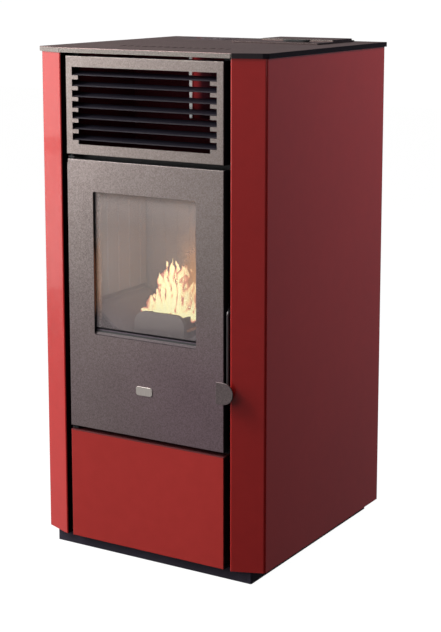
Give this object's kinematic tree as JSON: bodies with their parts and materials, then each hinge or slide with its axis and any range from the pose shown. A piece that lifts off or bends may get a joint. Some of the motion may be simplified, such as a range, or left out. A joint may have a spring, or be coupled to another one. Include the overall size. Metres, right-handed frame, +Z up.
{
  "type": "pellet stove",
  "caption": "Free-standing pellet stove: bent red steel casing, metallic front with hot-air grille, hinged fire door with window, pellet lid, flue and air spigots.",
  "frame": {"origin": "centre of the bounding box at floor level, where the feet stand", "axes": "+Z up; the front with the door faces -Y; +X is to the right seen from the front"},
  "size_m": [0.5128, 0.5644, 1.0072],
  "materials": {
    "red_enamel": "gloss",
    "bronze_coat": "fine textured metallic",
    "dark_bronze_coat": "fine textured metallic",
    "black_steel": "matt",
    "galvanised": "satin",
    "stainless": "satin",
    "cast_iron": "matt cast",
    "firebox_steel": "matt",
    "refractory": "matt",
    "fire_glass": "clear ceramic glass",
    "fibre_seal": "matt",
    "black_plastic": "matt",
    "grey_plastic": "satin",
    "board_green": "satin",
    "motor_alu": "cast",
    "foot_rubber": "matt",
    "badge_metal": "satin"
  },
  "bodies": {
    "casing": {"base_plinth": "black_steel", "levelling_feet": "foot_rubber", "base_pan": "galvanised", "side_panel_left": "red_enamel", "side_panel_right": "red_enamel", "front_frame": "black_steel", "lower_front_panel": "red_enamel", "grille_frame": "bronze_coat", "grille_slats": "black_steel", "plenum_box": "black_steel", "plenum_upright": "galvanised", "plenum_side_sheet": "red_enamel", "top_plate": "dark_bronze_coat", "lid_hinge_pin": "stainless", "rear_panel": "galvanised", "rear_panel_screws": "stainless", "firebox_shell": "firebox_steel", "firebox_back_panel": "refractory", "firebox_side_liners": "refractory", "baffle_plate": "refractory", "burn_pot_tray": "cast_iron", "ash_drawer": "stainless", "igniter": "stainless", "door_brackets": "black_steel", "pellet_hopper": "galvanised", "auger_tube": "galvanised", "auger_gearmotor": "motor_alu", "hopper_grid": "stainless", "exhaust_fan_housing": "galvanised", "exhaust_motor": "motor_alu", "flue_collar": "black_steel", "air_intake_pipe": "galvanised", "blower_housing": "galvanised", "blower_motor": "motor_alu", "riser_duct": "galvanised", "control_panel": "black_plastic", "control_board": "board_green", "power_inlet": "black_plastic"},
    "door": {"door_panel": "bronze_coat", "door_inner_frame": "cast_iron", "door_glass": "fire_glass", "glass_gasket": "fibre_seal", "glass_retainers": "stainless", "retainer_screws": "stainless", "door_rope_seal": "fibre_seal", "badge_plate": "badge_metal", "hinge_pins": "stainless", "handle_pivot_pin": "stainless"},
    "handle": {"handle_lever": "stainless", "handle_tab": "bronze_coat"},
    "pellet_lid": {"hopper_lid": "dark_bronze_coat", "lid_grip": "black_plastic"},
    "pot": {"burn_pot": "cast_iron"},
    "auger": {"auger_screw": "stainless"},
    "exhaust_rotor": {"exhaust_impeller": "stainless"},
    "air_rotor": {"blower_rotor": "galvanised"},
    "key_power": {"button_power": "grey_plastic"},
    "key_up": {"button_up": "grey_plastic"},
    "key_down": {"button_down": "grey_plastic"},
    "rocker": {"rocker_switch": "black_plastic"}
  },
  "joints": [
    {"name": "door_swing", "type": "hinge", "parent": "casing", "child": "door", "pos_m": [-0.168, -0.2592, 0.521], "axis": [0, 0, -1], "range_deg": [0, 110]},
    {"name": "handle_pull", "type": "hinge", "parent": "door", "child": "handle", "pos_m": [0.183, -0.2512, 0.527], "axis": [-1, 0, 0], "range_deg": [0, 35]},
    {"name": "lid_lift", "type": "hinge", "parent": "casing", "child": "pellet_lid", "pos_m": [0.0925, 0.2293, 1.0026], "axis": [-1, 0, 0], "range_deg": [0, 85]},
    {"name": "pot_lift", "type": "slide", "parent": "casing", "child": "pot", "axis": [0, 0, 1], "range_m": [0, 0.06]},
    {"name": "auger_turn", "type": "hinge", "parent": "casing", "child": "auger", "pos_m": [0, 0.1058, 0.452], "axis": [0, -0.5924, 0.8057], "continuous": true},
    {"name": "exhaust_turn", "type": "hinge", "parent": "casing", "child": "exhaust_rotor", "pos_m": [-0.095, -0.0082, 0.15], "axis": [0, 1, 0], "continuous": true},
    {"name": "blower_turn", "type": "hinge", "parent": "casing", "child": "air_rotor", "pos_m": [0.201, -0.1482, 0.115], "axis": [1, 0, 0], "continuous": true},
    {"name": "press_power", "type": "slide", "parent": "casing", "child": "key_power", "axis": [0, 0, -1], "range_m": [0, 0.001], "stiffness_N_per_m": 400, "springref_m": -0.002},
    {"name": "press_up", "type": "slide", "parent": "casing", "child": "key_up", "axis": [0, 0, -1], "range_m": [0, 0.001], "stiffness_N_per_m": 400, "springref_m": -0.002},
    {"name": "press_down", "type": "slide", "parent": "casing", "child": "key_down", "axis": [0, 0, -1], "range_m": [0, 0.001], "stiffness_N_per_m": 400, "springref_m": -0.002},
    {"name": "rocker_tip", "type": "hinge", "parent": "casing", "child": "rocker", "pos_m": [0.187, 0.2412, 0.12], "axis": [-1, 0, 0], "range_deg": [0, 16]}
  ]
}
